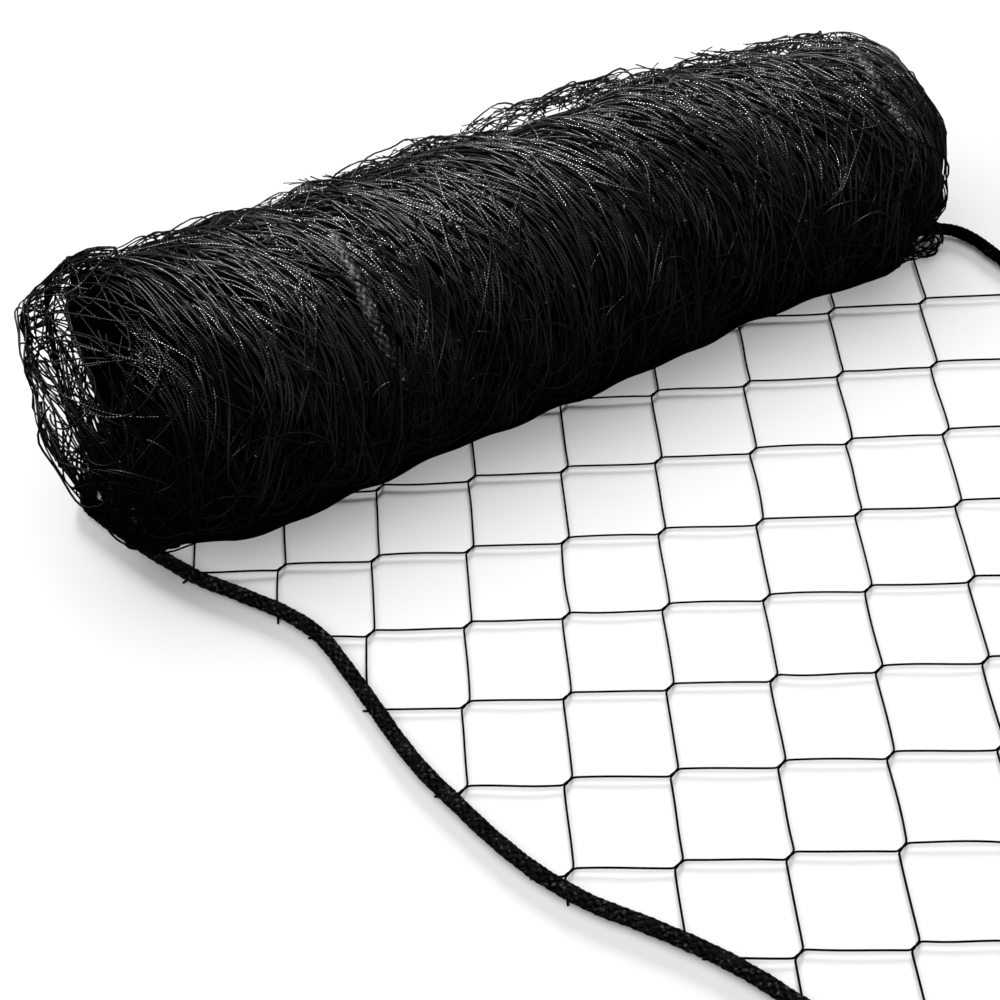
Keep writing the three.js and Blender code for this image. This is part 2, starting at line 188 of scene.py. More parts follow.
def makeCoreMaterial():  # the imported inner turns: strand after strand in deep shade
    facts = {
        "dark": "#020202", "light": "#0a0a0a", "roughness": 0.6, "gloss": 0.2,
        "strandSpacing": 1.3, "strandDepth": 1.5,  # mm
        "stretch": (1.0, 0.12, 0.12),  # drawn out round the roll
    }
    material, add = newMaterial("packedTwineTurns")
    place = add("ShaderNodeTexCoord")
    stretch = add("ShaderNodeMapping", {"Vector": place["Object"], "Scale": facts["stretch"]})
    strands = add("ShaderNodeTexNoise", {
        "Vector": stretch[0], "Scale": 1 / (facts["strandSpacing"] * 2 * mm), "Detail": 2.0})
    colour = add("ShaderNodeMix", {
        "Factor": strands["Fac"], 6: linearColour(facts["dark"]), 7: linearColour(facts["light"])}, colourMix)
    bump = add("ShaderNodeBump", {
        "Height": strands["Fac"], "Strength": 1.0, "Distance": facts["strandDepth"] * mm})
    shader = add("ShaderNodeBsdfPrincipled", {
        "Base Color": colour[2], "Roughness": facts["roughness"], "Normal": bump[0],
        "Specular IOR Level": facts["gloss"]})
    add("ShaderNodeOutputMaterial", {"Surface": shader[0]})
    return material


twineMaterial = makeTwineMaterial()
ropeMaterial = makeRopeMaterial()
coreMaterial = makeCoreMaterial()
print("materials made")


# paths and curves, all in mm until they become meshes

def bell(x, middle, width):
    return np.exp(-((x - middle) / width) ** 2)


def unit(vectors):
    return vectors / np.linalg.norm(vectors, axis=-1, keepdims=True)


def cubic(start, end, leave, arrive, t):  # from start to end, with the slope at each
    return (start + leave * t + (3 * (end - start) - 2 * leave - arrive) * t ** 2
            + (2 * (start - end) + leave + arrive) * t ** 3)


def smoothPath(points, perSpan=24):  # centripetal Catmull-Rom through the points
    p = np.asarray(points, float)
    p = np.vstack([2 * p[0] - p[1], p, 2 * p[-1] - p[-2]])
    t = np.linspace(0, 1, perSpan, endpoint=False)[:, None]
    spans = []
    for a, b, c, d in zip(p, p[1:], p[2:], p[3:]):
        before, here, after = (np.linalg.norm(v) ** 0.5 for v in (b - a, c - b, d - c))
        leave = ((b - a) / before - (c - a) / (before + here) + (c - b) / here) * here
        arrive = ((c - b) / here - (d - b) / (here + after) + (d - c) / after) * here
        spans.append(cubic(b, c, leave, arrive, t))
    return np.vstack(spans + [p[-2:-1]])


def evenSteps(path, step):  # the same path at even steps, and the length up to each point
    run = np.concatenate([[0], np.cumsum(np.linalg.norm(np.diff(path, axis=0), axis=1))])
    places = np.linspace(0, run[-1], int(round(run[-1] / step)) + 1)
    return np.stack([np.interp(places, run, path[:, k]) for k in range(3)], axis=1), places


def linkMesh(name, mesh):
    piece = bpy.data.objects.new(name, mesh)
    bpy.context.collection.objects.link(piece)
    return piece


def loftMesh(name, rings, along, material):  # closed skin over rings of equal count, with a point at each end
    count, sides = rings.shape[:2]
    points = np.vstack([rings.reshape(-1, 3), rings[0].mean(0), rings[-1].mean(0)]) * mm
    first, last = count * sides, count * sides + 1
    ring, side = np.meshgrid(np.arange(count - 1), np.arange(sides), indexing="ij")
    after = (side + 1) % sides
    quads = np.stack([ring * sides + side, ring * sides + after,
                      (ring + 1) * sides + after, (ring + 1) * sides + side], axis=-1).reshape(-1, 4)
    base = (count - 1) * sides
    caps = [(first, (k + 1) % sides, k) for k in range(sides)]
    caps += [(last, base + k, base + (k + 1) % sides) for k in range(sides)]
    mesh = bpy.data.meshes.new(name)
    mesh.from_pydata(points.tolist(), [], quads.tolist() + caps)
    left, right, low, high = side / sides, (side + 1) / sides, along[ring], along[ring + 1]
    corners = [np.stack(pair, -1) for pair in ((left, low), (right, low), (right, high), (left, high))]
    corners = np.stack(corners, axis=2).reshape(-1, 2)
    layer = mesh.uv_layers.new(name="twist")
    layer.data.foreach_set("uv", np.vstack([corners, np.zeros((len(caps) * 3, 2))]).ravel())
    mesh.polygons.foreach_set("use_smooth", np.ones(len(mesh.polygons), bool))
    mesh.materials.append(material)
    mesh.update()
    return linkMesh(name, mesh)


# trees that make a mesh: how each starts, how it ends and how a piece is grown by it

def newTree(name, inputs):
    tree = bpy.data.node_groups.new(name, "GeometryNodeTree")
    ids = {}
    for label, kind in inputs.items():
        socket = tree.interface.new_socket(name=label, in_out="INPUT", socket_type="NodeSocket" + kind)
        ids[label] = socket.identifier
    tree.interface.new_socket(name="Mesh", in_out="OUTPUT", socket_type="NodeSocketGeometry")
    return tree, ids, partial(addNode, tree)


def endTree(add, geometry, material):
    real = add("GeometryNodeRealizeInstances", {"Geometry": geometry})
    done = add("GeometryNodeSetMaterial", {"Geometry": real[0], "Material": material})
    add("NodeGroupOutput", {0: done[0]})


def growMesh(piece, tree, ids, values):  # the piece keeps what the tree makes as its plain mesh
    modifier = piece.modifiers.new(tree.name, "NODES")
    modifier.node_group = tree
    for label, value in values.items():
        modifier[ids[label]] = value
    mesh = bpy.data.meshes.new_from_object(piece.evaluated_get(bpy.context.evaluated_depsgraph_get()))
    piece.modifiers.clear()
    piece.data = mesh
    mesh.name = piece.name
    return sum(len(face.vertices) - 2 for face in mesh.polygons)


# border rope: its route is the one of the part, from under the roll's left end round to its right end
ropeFacts = {
    "route": (
        (-138.8, 28.6, 5.4), (-147.2, 22.0, 3.2), (-150.2, 13.5, 2.6), (-147.4, 5.0, 2.6),
        (-142.0, -6.0, 2.6), (-133.8, -21.5, 2.6), (-124.3, -36.8, 2.6), (-114.0, -49.5, 2.6),
        (-104.0, -62.5, 2.6), (-96.8, -75.4, 2.6), (-92.7, -92.2, 2.6), (-89.3, -110.6, 2.6),
        (-85.0, -133.0, 2.6), (-78.2, -154.2, 2.6), (-69.0, -178.0, 2.6), (-58.2, -196.8, 2.6),
        (-46.4, -210.8, 2.6), (-35.0, -224.6, 2.6), (-24.9, -239.4, 2.6), (-17.5, -252.5, 2.6),
        (-7.0, -265.5, 2.6), (8.0, -275.0, 2.6), (26.0, -282.0, 2.6), (45.0, -286.0, 2.6),
        (62.5, -282.0, 2.6), (75.0, -268.0, 2.6), (84.5, -245.0, 2.6), (103.5, -194.0, 2.6),
        (125.5, -136.0, 2.6), (145.3, -84.0, 2.6), (157.5, -50.0, 2.6), (159.8, -34.0, 2.6),
        (158.2, -25.0, 2.6), (156.2, -16.5, 2.6), (152.0, -9.0, 2.6), (145.0, -4.6, 2.6), (130.4, -2.2, 2.6),
    ),
    "diameter": 5.0,
    "step": 0.55,
    "sides": 40,
    "carriers": 6,      # yarns each way round
    "pitch": 23.0,      # one turn of a yarn along the rope
    "yarnWidth": 2.0,
    "heart": 1.82,      # radius under the yarns
    "crossing": 0.2,    # how far a yarn rises where it goes over another
    "crown": 0.46,
    "sway": (0.06, 3.7), "swell": (0.05, 1.9),  # how uneven it is: height and length
    "thinOver": (100.0, 60.0),  # where the far end draws thin: before the end, and the ease
    "lowest": 0.05,
}


def braidedTube(name, path, facts):
    points, run = evenSteps(path, facts["step"])
    along = unit(np.gradient(points, axis=0))
    side = unit(np.cross(along, facts.get("up", (0, 0, 1))))
    up = np.cross(side, along)
    angle = (np.arange(facts["sides"]) / facts["sides"] * fullTurn)[None, :]
    wind = (run / facts["pitch"] * fullTurn)[:, None]
    steep = math.cos(math.atan(math.pi * facts["diameter"] / facts["pitch"]))
    heart, crossing, crown, carriers = (facts[key] for key in ("heart", "crossing", "crown", "carriers"))
    radius = np.full((len(points), facts["sides"]), heart)
    for way in (1, -1):
        base = heart + way * crossing * np.cos(carriers * wind)
        for k in range(carriers):
            apart = np.mod(angle - way * wind - k * fullTurn / carriers + math.pi, fullTurn) - math.pi
            share = apart * facts["diameter"] / 2 * steep / (facts["yarnWidth"] / 2)
            yarn = base + crown * np.maximum(1 - share ** 2, 0) ** 0.75
            radius = np.maximum(radius, np.where(np.abs(share) < 1, yarn, 0))
    before, ease = facts["thinOver"]
    thin = facts.get("thinEnd", 0) * np.clip((run - run[-1] + before) / ease, 0, 1)
    (sway, swayLength), (swell, swellLength) = facts["sway"], facts["swell"]
    radius = radius * (1 - thin)[:, None]
    radius = radius + sway * np.sin(run / swayLength)[:, None] * np.cos(angle + 1)
    radius = radius + swell * np.sin(run / swellLength + 2)[:, None]
    outwards = np.cos(angle)[..., None] * side[:, None, :] + np.sin(angle)[..., None] * up[:, None, :]
    rings = points[:, None, :] + radius[..., None] * outwards
    rings[..., 2] = np.maximum(rings[..., 2], facts["lowest"])
    rope = loftMesh(name, rings, run, ropeMaterial)
    # how high the yarn stands here; the rope material paints shade into the low grooves by it
    height = np.clip((radius - heart) / (crossing + crown), 0, 1).ravel()
    shading = rope.data.attributes.new("crown", "FLOAT", "POINT")
    shading.data.foreach_set("value", np.concatenate([height, [0.5, 0.5]]))
    return rope, points, run[-1]


ropePath = smoothPath(ropeFacts["route"])
borderRope, ropeLine, ropeLength = braidedTube("borderRope", ropePath, dict(ropeFacts, thinEnd=0.14))


# loose filaments that stand off the rope, but not where it lies on the floor
fuzzFacts = {"density": 0.22, "length": 1.0, "diameter": 0.1, "offFloor": 1.3, "seed": 41}  # a square mm, mm


def makeFuzzTree():
    tree, ids, add = newTree("filamentsOnSkin", {
        "Skin": "Geometry", "Density": "Float", "Length": "Float", "Diameter": "Float", "Lowest": "Float",
        "Seed": "Int", "Material": "Material"})
    given = add("NodeGroupInput")
    place = add("GeometryNodeInputPosition")
    split = add("ShaderNodeSeparateXYZ", {0: place[0]})
    offFloor = add("ShaderNodeMath", {0: split[2], 1: given["Lowest"]}, {"operation": "GREATER_THAN"})
    roots = add("GeometryNodeDistributePointsOnFaces", {
        "Mesh": given["Skin"], "Selection": offFloor[0], "Density": given["Density"], "Seed": given["Seed"]})
    bend = add("GeometryNodeCurveQuadraticBezier", {
        "Resolution": 3, "Start": (0, 0, 0), "Middle": (0.35, 0, 0.5), "End": (0.95, 0, 0.6)})
    halfShare = add("ShaderNodeMath", {0: given["Diameter"], 1: 0.5}, multiply)
    radius = add("ShaderNodeMath", {0: halfShare[0], 1: given["Length"]}, {"operation": "DIVIDE"})
    section = add("GeometryNodeCurvePrimitiveCircle", {"Resolution": 3, "Radius": radius[0]})
    filament = add("GeometryNodeCurveToMesh", {
        "Curve": bend[0], "Profile Curve": section[0], "Fill Caps": True})
    # the filaments stand clear of the braid, so a high crown keeps the painted groove shade off them
    pale = add("GeometryNodeStoreNamedAttribute", {
        "Geometry": filament[0], "Name": "crown", "Value": 0.8}, perPoint)
    spin = add("FunctionNodeRandomValue", {
        0: (-0.5, -0.5, 0.0), 1: (0.5, 0.5, fullTurn), "Seed": given["Seed"]}, {"data_type": "FLOAT_VECTOR"})
    turnBy = add("FunctionNodeEulerToRotation", {0: spin[0]})
    turned = add("FunctionNodeRotateRotation", {
        0: roots["Rotation"], 1: turnBy[0]}, {"rotation_space": "LOCAL"})
    share = add("FunctionNodeRandomValue", {2: 0.35, 3: 1.0, "Seed": given["Seed"]}, {"data_type": "FLOAT"})
    size = add("ShaderNodeMath", {0: share[1], 1: given["Length"]}, multiply)
    placed = add("GeometryNodeInstanceOnPoints", {
        "Points": roots["Points"], "Instance": pale[0], "Rotation": turned[0], "Scale": size[0]})
    endTree(add, placed[0], given["Material"])
    return tree, ids


def makeFuzz(rope, facts):
    piece = linkMesh("ropeFuzz", rope.data.copy())
    triangles = growMesh(piece, *makeFuzzTree(), {
        "Density": facts["density"] / mm ** 2, "Length": facts["length"] * mm,
        "Diameter": facts["diameter"] * mm, "Lowest": facts["offFloor"] * mm, "Seed": facts["seed"],
        "Material": ropeMaterial})
    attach(piece, "root")
    print("rope fuzz", triangles, "triangles")
    return piece


ropeFuzz = makeFuzz(borderRope, fuzzFacts)
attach(borderRope, "root")
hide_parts("border_rope")
print("border rope", round(ropeLength), "mm,", len(borderRope.data.polygons), "faces")


# twine: one tree sweeps a round section along every path and lays a map along and round it
twineFacts = {"diameter": 0.66, "sides": 4, "thicknesses": (0.85, 1.1)}  # mm; shares of it


def makeTwineTree():
    tree, ids, add = newTree("twineAlongPaths", {
        "Paths": "Geometry", "Diameter": "Float", "Sides": "Int", "Material": "Material"})
    given = add("NodeGroupInput")
    curve = add("GeometryNodeMeshToCurve", {"Mesh": given["Paths"]})
    spline = add("GeometryNodeSplineParameter")
    inMillimetres = add("ShaderNodeMath", {0: spline["Length"], 1: 1 / mm}, multiply)
    measured = add("GeometryNodeStoreNamedAttribute", {
        "Geometry": curve[0], "Name": "run", "Value": inMillimetres[0]}, perPoint)
    radius = add("ShaderNodeMath", {0: given["Diameter"], 1: 0.5}, multiply)
    section = add("GeometryNodeCurvePrimitiveCircle", {"Resolution": given["Sides"], "Radius": radius[0]})
    corner = add("GeometryNodeInputIndex")
    numbered = add("GeometryNodeStoreNamedAttribute", {
        "Geometry": section[0], "Name": "corner", "Value": corner[0]}, perPoint)
    thickness, cornerHere, run = (
        add("GeometryNodeInputNamedAttribute", {"Name": name}, {"data_type": "FLOAT"})["Attribute"]
        for name in ("thickness", "corner", "run"))
    skin = add("GeometryNodeCurveToMesh", {
        "Curve": measured[0], "Profile Curve": numbered[0], "Scale": thickness, "Fill Caps": True})
    # the map's seam: on the last side, the first corner counts as one past the last
    sideMiddle = add("GeometryNodeFieldOnDomain", {0: cornerHere}, {"data_type": "FLOAT", "domain": "FACE"})
    fromMiddle = add("ShaderNodeMath", {0: sideMiddle[0], 1: cornerHere}, {"operation": "SUBTRACT"})
    pastSeam = add("ShaderNodeMath", {0: fromMiddle[0], 1: 0.75}, {"operation": "GREATER_THAN"})
    unwrapped = add("ShaderNodeMath", {0: pastSeam[0], 1: given["Sides"], 2: cornerHere}, multiplyAdd)
    share = add("ShaderNodeMath", {0: unwrapped[0], 1: given["Sides"]}, {"operation": "DIVIDE"})
    place = add("ShaderNodeCombineXYZ", {0: share[0], 1: run})
    mapped = add("GeometryNodeStoreNamedAttribute", {
        "Geometry": skin[0], "Name": "twist", "Value": place[0]}, {"data_type": "FLOAT2", "domain": "CORNER"})
    clean = add("GeometryNodeSetShadeSmooth", {"Geometry": mapped[0]})
    for name in ("run", "corner", "thickness"):
        clean = add("GeometryNodeRemoveAttribute", {"Geometry": clean[0], "Name": name})
    endTree(add, clean[0], given["Material"])
    return tree, ids


twineTree = makeTwineTree()
rollPieces = []  # what the lamps light


def makeTwine(name, paths, shades, thicknesses, facts=twineFacts):
    counts = [len(path) for path in paths]
    points = np.vstack(paths)
    isLast = np.zeros(len(points), bool)
    isLast[np.cumsum(counts) - 1] = True
    joined = np.flatnonzero(~isLast)
    mesh = bpy.data.meshes.new(name + "Paths")
    mesh.from_pydata((points * mm).tolist(), np.stack([joined, joined + 1], 1).tolist(), [])
    for label, values in (("shade", shades), ("thickness", thicknesses)):
        layer = mesh.attributes.new(label, "FLOAT", "POINT")
        layer.data.foreach_set("value", np.repeat(np.broadcast_to(values, len(paths)).astype(float), counts))
    piece = linkMesh(name, mesh)
    triangles = growMesh(piece, *twineTree, {
        "Diameter": facts["diameter"] * mm, "Sides": facts["sides"], "Material": twineMaterial})
    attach(piece, "root")
    rollPieces.append(piece)
    print(name, len(paths), "strands,", triangles, "triangles")
    return piece


# the roll's form, as in the part: sections along it, and two rounded ends that lean
rollFacts = {
    "sections": ((-148, 44.5, 9.0), (-120, 48.6, 0.8), (-80, 48.3, -2.3), (-40, 47.0, 0.4), (0, 47.0, 1.3),
                 (40, 46.1, 3.2), (80, 43.1, 5.7), (120, 40.9, 2.2),
                 (139, 37.0, -0.5)),  # along, radius, middle
    "flatDepth": 1.3,
    "left": {"x": -148.0, "side": -1, "rim": 22.0, "bulge": 4.0, "perY": 0.05, "perZ": -0.09},
    "right": {"x": 138.5, "side": 1, "rim": 23.0, "bulge": 7.0, "perY": -0.12, "perZ": 0.14,
              "swell": (118.0, 30.0, 2.3)},  # turn, width in degrees and how far it stands out
    "leanReach": 45.0,
    "fade": (0.45, 0.77),  # radians from the floor where the bundles start, and the ease
    "bundleSlant": 138.0, "bundles": ((6, 0.9, 0.0), (4, 0.7, 1.9)),  # mm a turn; count, height, phase
}


def sectionAt(x):
    table = np.array(rollFacts["sections"], float)
    places, values = table[:, 0], table[:, 1:]
    slopes = np.gradient(values, places, axis=0)
    x = np.clip(x, places[0], places[-1])
    k = np.clip(np.searchsorted(places, x) - 1, 0, len(places) - 2)
    width = (places[k + 1] - places[k])[..., None]
    t = ((x - places[k]) / width[..., 0])[..., None]
    mixed = cubic(values[k], values[k + 1], slopes[k] * width, slopes[k + 1] * width, t)
    return mixed[..., 0], mixed[..., 1]


def skinAt(along):
    # along is measured over the roll's skin: past the body it goes over the rim and onto the end
    left, right = rollFacts["left"], rollFacts["right"]
    bodyLeft, bodyRight = left["x"] + left["rim"], right["x"] - right["rim"]
    x = np.clip(along, bodyLeft, bodyRight)
    radius, middleY = sectionAt(x)
    middleZ = radius - rollFacts["flatDepth"]
    outX, outR = np.zeros_like(x), np.ones_like(x)
    for end, start in ((left, bodyLeft), (right, bodyRight)):
        past = np.maximum(end["side"] * (along - start), 0)
        lean = np.clip(past / end["rim"], 0, math.pi / 2)
        faceRadius = radius - end["rim"]
        inwards = np.clip(past - end["rim"] * math.pi / 2, 0, faceRadius - 1)
        here = past > 0
        bulge = end["bulge"] * (1 - ((faceRadius - inwards) / faceRadius) ** 2)
        x = np.where(here, start + end["side"] * (end["rim"] * np.sin(lean) + bulge), x)
        radius = np.where(here, faceRadius + end["rim"] * np.cos(lean) - inwards, radius)
        outX = np.where(here, end["side"] * np.sin(lean), outX)
        outR = np.where(here, np.cos(lean), outR)
    return x, radius, outX, outR, middleY, middleZ


def fromFloor(turn):  # how far round from the floor, either way
    return math.pi - np.abs(np.mod(turn, fullTurn) - math.pi)


def bundleHeight(along, turn):  # the main twists: bundles of strands that sweep round, flat towards the floor
    start, ease = rollFacts["fade"]
    way = along / rollFacts["bundleSlant"] + turn / fullTurn
    waves = (height * np.sin(count * fullTurn * way + phase) for count, height, phase in rollFacts["bundles"])
    return np.clip((fromFloor(turn) - start) / ease, 0, 1) * sum(waves)


def onRoll(along, turn, lift, floor=0.6):
    # turn goes from the floor up the front, over the top and down the back; lift is out from the skin
    along, turn, lift = np.broadcast_arrays(*(np.asarray(v, float) for v in (along, turn, lift)))
    x, radius, outX, outR, middleY, middleZ = skinAt(along)
    lift = lift + bundleHeight(along, turn)
    reach = np.maximum(radius + outR * lift, 0)
    fromY, fromZ = -reach * np.sin(turn), -reach * np.cos(turn)
    x = x + outX * lift
    for end in (rollFacts["left"], rollFacts["right"]):
        near = np.clip(1 - end["side"] * (end["x"] - x) / rollFacts["leanReach"], 0, 1)
        ease = near * near * (3 - 2 * near)
        x = x + ease * (end["perY"] * fromY + end["perZ"] * fromZ)
        if "swell" in end:
            middle, width, most = end["swell"]
            x = x + ease * most * bell(np.degrees(turn) % 360, middle, width)
    return np.stack([x, middleY + fromY, np.maximum(middleZ + fromZ, floor)], axis=-1)


# how far strands lean off straight round the roll: across it on top, down the front, back again low down
leanFacts = {
    "turn": (0, 60, 90, 117, 130, 143, 156, 170, 185, 210, 270, 330, 360),
    "lean": (-8, -16, -16, -5, 8, 16, 25, 32, 36, 38, 25, 4, -8),  # degrees
    "locks": ((5.5, 11.0, 2.3, 1.0), (4.0, 6.1, -3.1, 1.7)),  # degrees, mm, waves with the turn and the phase
    "rightEdge": (142.0, 16.0), "rightFront": (110.0, 70.0),  # mm along and the ease
}


def strandLean(along, turn, phase):
    lean = np.interp(np.degrees(turn) % 360, leanFacts["turn"], leanFacts["lean"])
    onTop, inFront = (np.clip((edge - along) / ease, 0, 1)
                      for edge, ease in (leanFacts["rightEdge"], leanFacts["rightFront"]))
    locks = sum(most * np.sin(along / size + perTurn * turn + perPhase * phase)
                for most, size, perTurn, perPhase in leanFacts["locks"])
    return np.radians(lean * np.where(lean > 0, onTop, inFront) + locks)


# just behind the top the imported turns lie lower, under a loose lace of net
valleyFacts = {
    "turn": 216, "width": 24, "depth": 1.5,  # degrees, mm
    "dips": ((28, 26, 7.5), (108, 28, 5.5), (-34, 34, 2.4), (-100, 18, 1.2)),  # along, width, depth
}
# near the floor the loose strands are pressed in under a smooth skin of packed net
sinkFacts = {"depth": 2.2, "below": 1.16, "ease": 0.3}  # mm, radians from the floor


def topValley(along, turn):
    dips = sum(depth * bell(along, middle, width) for middle, width, depth in valleyFacts["dips"])
    across = bell(np.degrees(turn) % 360, valleyFacts["turn"], valleyFacts["width"])
    return across * (valleyFacts["depth"] + dips)


def lowSink(turn):
    return sinkFacts["depth"] * np.clip((sinkFacts["below"] - fromFloor(turn)) / sinkFacts["ease"], 0, 1)


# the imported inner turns, a dark body under the loose strands
coreFacts = {
    "first": -137.0, "last": 136.0, "step": 3.0, "sides": 72, "inset": 4.8, "lowest": 0.25,
    "body": (-126, 118), "leftRound": 9.0, "rightRound": 26.0, "leftDepth": 0.9, "rightTip": 0.02,
    "lowInset": -0.2, "low": (1.6, 0.7),  # radians from the floor and the ease
    "lowBulge": (-101.0, 17.0, 1.5), "leftRise": (-110.0, 14.0, 2.2),
    "lumps": 0.7, "lumpSizes": (9.1, 14.3),
}


def makeCore(facts):
    along = np.arange(facts["first"], facts["last"], facts["step"])[:, None]
    turn = (np.arange(facts["sides"]) / facts["sides"] * fullTurn)[None, :]
    reach, ease = facts["low"]
    low = np.clip((reach - fromFloor(turn)) / ease, 0, 1)
    size, otherSize = facts["lumpSizes"]
    lumps = np.sin(along / size + 3 * turn) * np.sin(along / otherSize - 2 * turn + 1) * facts["lumps"]
    inset = facts["inset"] + topValley(along, turn)
    middle, width, bulge = facts["lowBulge"]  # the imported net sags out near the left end
    lowInset = facts["lowInset"] - bulge * bell(along, middle, width)
    start, ease, rise = facts["leftRise"]  # and draws in again just before it
    lowInset = lowInset + rise * np.clip((start - along) / ease, 0, 1)
    inset = inset + (lowInset - inset) * low
    leftEnd = np.clip(1 - (along - facts["first"]) / facts["leftRound"], 0, 1)
    rightEnd = np.clip(1 - (facts["last"] - along) / facts["rightRound"], 0, 1)
    closing = leftClosing(along, leftEnd)
    rings = onRoll(along, turn, -inset - lumps * (1 - low) - closing, floor=facts["lowest"])
    keep = np.sqrt(np.maximum(1 - rightEnd ** 4, facts["rightTip"]))
    middle = rings.mean(axis=1, keepdims=True)
    rings = middle + (rings - middle) * keep[..., None]
    core = loftMesh("rollCore", rings[:, ::-1], along[:, 0], coreMaterial)
    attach(core, "root")
    return core


def coreRadius(along):
    return sectionAt(np.clip(along, *coreFacts["body"]))[0]


def leftClosing(along, inwards):  # how far the core draws in over its rounded left end
    return coreFacts["leftDepth"] * coreRadius(along) * (1 - np.sqrt(np.maximum(1 - inwards ** 2, 0.0)))


# the spiral of turns on the core's left end
endFacts = {
    "seed": 33, "count": 110, "points": 16, "inwards": (0.35, 0.985), "length": (40, 110), "out": (0.2, 1.2),
    "sway": 0.03, "innermost": 0.99, "shades": (0, 0.3),
}
leastRadius = 8.0  # a strand turns no tighter than this on an end


def endStrands(facts):
    rng = np.random.default_rng(facts["seed"])
    count = facts["count"]
    pick = lambda low, high: rng.uniform(low, high, (count, 1))
    u = np.linspace(0, 1, facts["points"])[None, :]
    inwards = pick(*facts["inwards"]) + facts["sway"] * np.sin(4 * u + pick(0, fullTurn))
    inwards = np.clip(inwards, 0, facts["innermost"])
    along = coreFacts["first"] + coreFacts["leftRound"] * (1 - inwards)
    lift = -coreFacts["inset"] - leftClosing(along, inwards)
    radius = np.maximum(coreRadius(along) + lift, leastRadius)
    turn = pick(0, fullTurn) + u * pick(*facts["length"]) / radius
    paths = onRoll(along, turn, lift)
    paths[..., 0] -= pick(*facts["out"])
    return paths, rng.uniform(*facts["shades"], count), 1.0


rollCore = makeCore(coreFacts)
print("roll core", len(rollCore.data.polygons), "faces")


# a knot where strands gather: one strand wound round the others
knotFacts = {"length": 1.5, "radius": 0.75, "turns": 2.2, "points": 12, "shade": 0.5, "thickness": 0.9}


def knotCoil(place, along):
    along = unit(along)
    side = unit(np.cross(along, (1.0, 0.0, 0.0)))
    up = np.cross(side, along)
    u = np.linspace(0, 1, knotFacts["points"])[:, None]
    angle = u * knotFacts["turns"] * fullTurn
    around = np.cos(angle) * side + np.sin(angle) * up
    reach = knotFacts["radius"] * np.sin(math.pi * u) ** 0.4
    return place + (u - 0.5) * knotFacts["length"] * along + reach * around


# what all wound strands share: spreads round a group's values, and steps that leave no clump or bare spot
windFacts = {
    "turn": (20, 380), "knotAt": (0.1, 0.9), "dive": 3.0, "evenSteps": (0.7548776662, 0.5698402910),
    "turnSpread": 9, "lengths": (0.75, 1.15), "waveRates": (0.35, 0.8), "knotReach": 0.2,
    "liftSpread": 0.7, "ripple": 0.6,
    "hollowShade": (130, 40, 0.05),  # painted shade in the left hollow, strands there drawn darker and with less gloss: mm left of the middle, the ease and the least shade
}
# three depths of wound strands, plain turns between them and a few that cross them; a larger shine power
# gives lower shade values, painted shade that draws the deeper strands darker and less glossy
windRows = {
    "deepTurns": dict(
        seed=11, groups=200, each=7, points=14, along=(-128, 130), length=(70, 130), lean=(-8, 8),
        leanSpread=4.0, waver=6.0, phase=0.0, width=(4, 13), gather=(0, 0.6), lift=(-4.4, -3.0), shine=3.0,
        knotEvery=4),
    "middleTurns": dict(
        seed=12, groups=200, each=6, points=16, along=(-128, 131), length=(70, 135), lean=(-12, 12),
        leanSpread=5.0, waver=8.0, phase=1.3, width=(4, 14), gather=(0, 0.9), lift=(-2.9, -1.4), shine=2.0,
        knotEvery=2),
    "outerTurns": dict(
        seed=13, groups=185, each=5, points=20, along=(-128, 131), length=(55, 140), lean=(-15, 14),
        leanSpread=7.0, waver=10.0, phase=2.6, width=(3, 14), gather=(0.3, 0.95), lift=(-1.2, 0.2), shine=0.9,
        knotEvery=1),
    "plainTurns": dict(
        seed=15, groups=110, each=3, points=15, along=(-112, 129), length=(60, 120), lean=(-8, 8),
        leanSpread=6.0, waver=8.0, phase=3.6, width=(6, 18), gather=(0, 0.2), lift=(-2.2, -1.0), shine=1.5,
        knotEvery=10),
    "crossingStrands": dict(
        seed=14, groups=130, each=2, points=18, along=(-124, 126), turn=(120, 330), length=(35, 90),
        lean=(-34, 24), leanSpread=8.0, waver=20.0, phase=4.0, width=(2, 14), gather=(0, 0.8),
        lift=(-0.8, 0.4), dive=2.5, shine=2.0, knotEvery=2),
}


